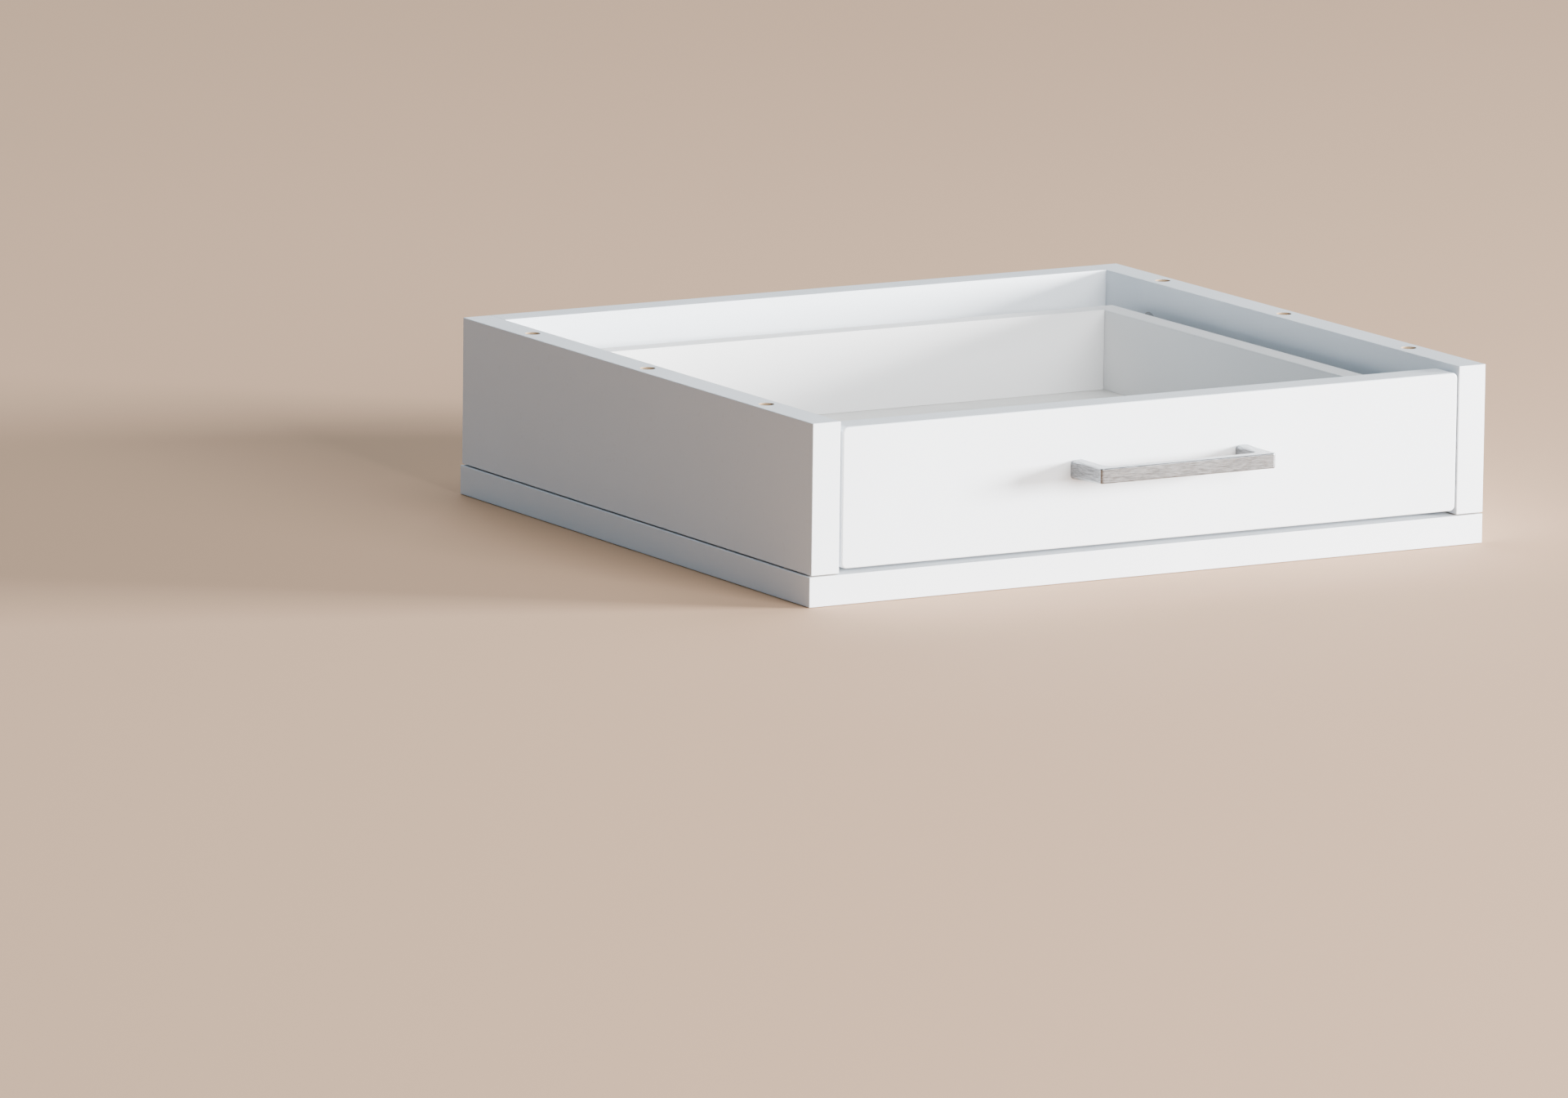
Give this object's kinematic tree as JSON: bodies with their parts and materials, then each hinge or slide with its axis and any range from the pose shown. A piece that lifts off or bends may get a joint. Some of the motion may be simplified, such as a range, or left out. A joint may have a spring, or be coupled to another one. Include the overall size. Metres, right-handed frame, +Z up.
{
  "type": "under desk drawer",
  "caption": "Shallow open-topped drawer unit that hangs below a desk top: a board case and an inset drawer on roller slides, with a square bow handle.",
  "frame": {"origin": "bottom centre of the overall box: midway across the case, midway between the handle's front and the back panel's rear face, on the underside", "axes": "+X to the right as seen from the drawer's front, +Y from the front to the back, +Z up; the drawer pulls out along -Y"},
  "size_m": [0.4, 0.387, 0.093],
  "materials": {
    "case_board": "white lacquered fibreboard, satin",
    "drawer_board": "white faced particle board with white edging, satin",
    "drawer_base": "white lacquered hardboard, smooth",
    "handle_metal": "satin nickel, finely brushed",
    "coated_steel": "off-white powder coat",
    "plated_steel": "bright zinc plate",
    "cast_zinc": "dull die-cast zinc",
    "nylon": "natural nylon",
    "beech": "plain turned beech, fluted"
  },
  "bodies": {
    "housing": {"bottom_panel": "case_board", "back_panel": "case_board", "left_upright": "case_board", "left_top_cam_1": "cast_zinc", "left_top_cam_2": "cast_zinc", "left_back_cam": "cast_zinc", "left_connector_screw_1": "plated_steel", "left_connector_screw_2": "plated_steel", "left_back_stud": "plated_steel", "left_case_rail_screw_1": "plated_steel", "left_case_rail_screw_2": "plated_steel", "left_bottom_dowel_1": "beech", "left_bottom_dowel_2": "beech", "left_back_dowel": "beech", "left_case_rail": "coated_steel", "left_front_axle": "plated_steel", "right_upright": "case_board", "right_top_cam_1": "cast_zinc", "right_top_cam_2": "cast_zinc", "right_back_cam": "cast_zinc", "right_connector_screw_1": "plated_steel", "right_connector_screw_2": "plated_steel", "right_back_stud": "plated_steel", "right_case_rail_screw_1": "plated_steel", "right_case_rail_screw_2": "plated_steel", "right_bottom_dowel_1": "beech", "right_bottom_dowel_2": "beech", "right_back_dowel": "beech", "right_case_rail": "coated_steel", "right_front_axle": "plated_steel"},
    "drawer": {"drawer_front": "case_board", "drawer_back": "drawer_board", "drawer_bottom": "drawer_base", "handle": "handle_metal", "left_drawer_side": "drawer_board", "left_drawer_rail": "coated_steel", "left_drawer_rail_screw_1": "plated_steel", "left_drawer_rail_screw_2": "plated_steel", "left_drawer_stud": "plated_steel", "left_drawer_back_screw_1": "plated_steel", "left_drawer_back_screw_2": "plated_steel", "left_handle_screw": "plated_steel", "left_rear_axle": "plated_steel", "left_drawer_cam": "cast_zinc", "left_drawer_dowel": "beech", "right_drawer_side": "drawer_board", "right_drawer_rail": "coated_steel", "right_drawer_rail_screw_1": "plated_steel", "right_drawer_rail_screw_2": "plated_steel", "right_drawer_stud": "plated_steel", "right_drawer_back_screw_1": "plated_steel", "right_drawer_back_screw_2": "plated_steel", "right_handle_screw": "plated_steel", "right_rear_axle": "plated_steel", "right_drawer_cam": "cast_zinc", "right_drawer_dowel": "beech"},
    "left_front_roller": {"left_front_roller": "nylon"},
    "left_rear_roller": {"left_rear_roller": "nylon"},
    "right_front_roller": {"right_front_roller": "nylon"},
    "right_rear_roller": {"right_rear_roller": "nylon"}
  },
  "joints": [
    {"name": "drawer_slide", "type": "slide", "parent": "housing", "child": "drawer", "axis": [0, -1, 0], "range_m": [0, 0.228]},
    {"name": "left_front_roller_spin", "type": "hinge", "parent": "housing", "child": "left_front_roller", "pos_m": [-0.17675, -0.1375, 0.03245], "axis": [1, 0, 0], "continuous": true},
    {"name": "left_rear_roller_spin", "type": "hinge", "parent": "drawer", "child": "left_rear_roller", "pos_m": [-0.17615, 0.1385, 0.0308], "axis": [1, 0, 0], "continuous": true},
    {"name": "right_front_roller_spin", "type": "hinge", "parent": "housing", "child": "right_front_roller", "pos_m": [0.17775, -0.1375, 0.03245], "axis": [1, 0, 0], "continuous": true},
    {"name": "right_rear_roller_spin", "type": "hinge", "parent": "drawer", "child": "right_rear_roller", "pos_m": [0.17715, 0.1385, 0.0308], "axis": [1, 0, 0], "continuous": true}
  ],
  "couplings": [
    {"joint": "left_front_roller_spin", "follows": "drawer_slide", "rad_per_m": 117.65},
    {"joint": "left_rear_roller_spin", "follows": "drawer_slide", "rad_per_m": 133.33},
    {"joint": "right_front_roller_spin", "follows": "drawer_slide", "rad_per_m": 117.65},
    {"joint": "right_rear_roller_spin", "follows": "drawer_slide", "rad_per_m": 133.33}
  ]
}
